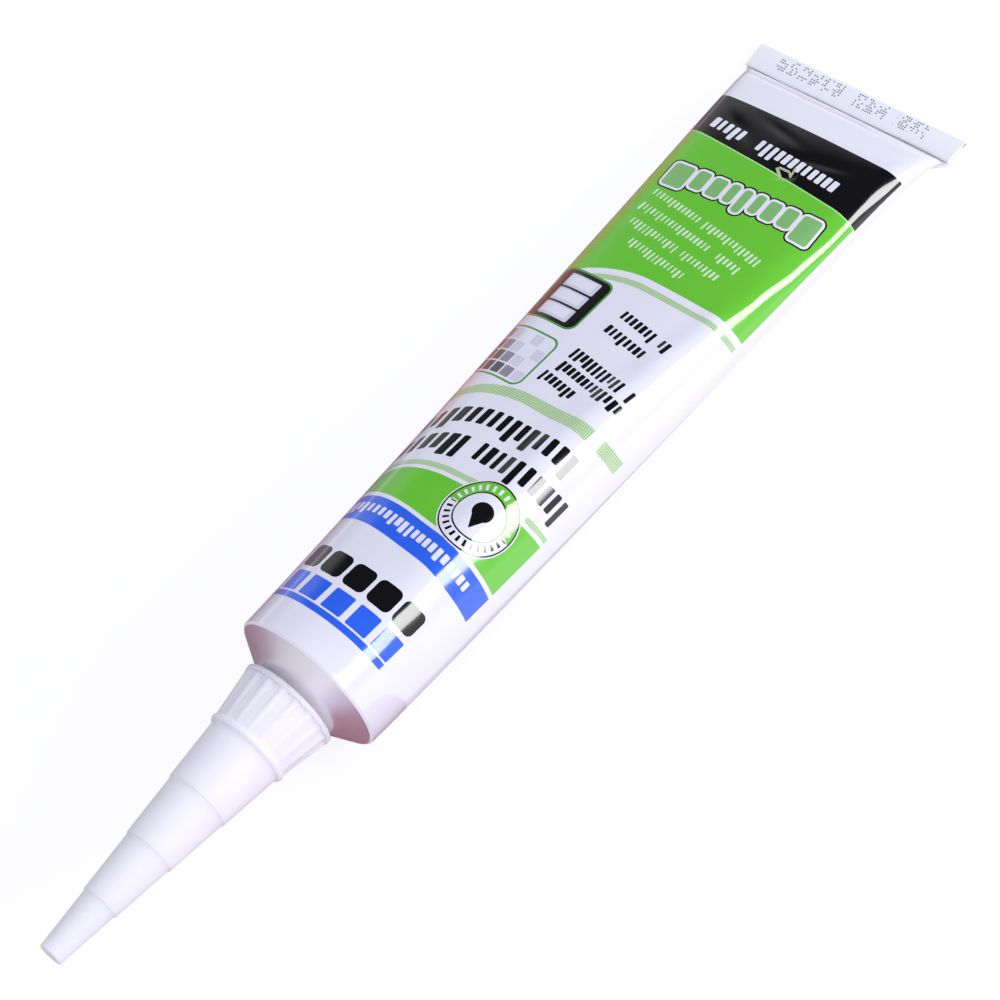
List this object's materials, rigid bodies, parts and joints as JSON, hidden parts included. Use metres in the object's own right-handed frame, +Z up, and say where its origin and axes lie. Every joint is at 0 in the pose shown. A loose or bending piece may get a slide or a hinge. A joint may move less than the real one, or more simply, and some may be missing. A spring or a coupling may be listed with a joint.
{
  "type": "silicone sealant tube",
  "caption": "Collapsible aluminium tube of silicone sealant, flattened and folded at the tail, with a long stepped nozzle that comes off its neck.",
  "frame": {"origin": "on the surface that the tube lies on, under the middle of its whole length", "axes": "+X along the tube towards its folded tail, +Z up, -Y towards the viewer of the picture"},
  "size_m": [0.1816, 0.0402, 0.0249],
  "materials": {
    "lacquered_aluminium": "gloss",
    "natural_polyethylene": "satin"
  },
  "bodies": {
    "tube": {"tube": "lacquered_aluminium"},
    "nozzle": {"nozzle": "natural_polyethylene"}
  },
  "joints": [
    {"name": "nozzle_pull", "type": "slide", "parent": "tube", "child": "nozzle", "axis": [-0.995, 0, 0.1003], "range_m": [0, 0.025]}
  ]
}
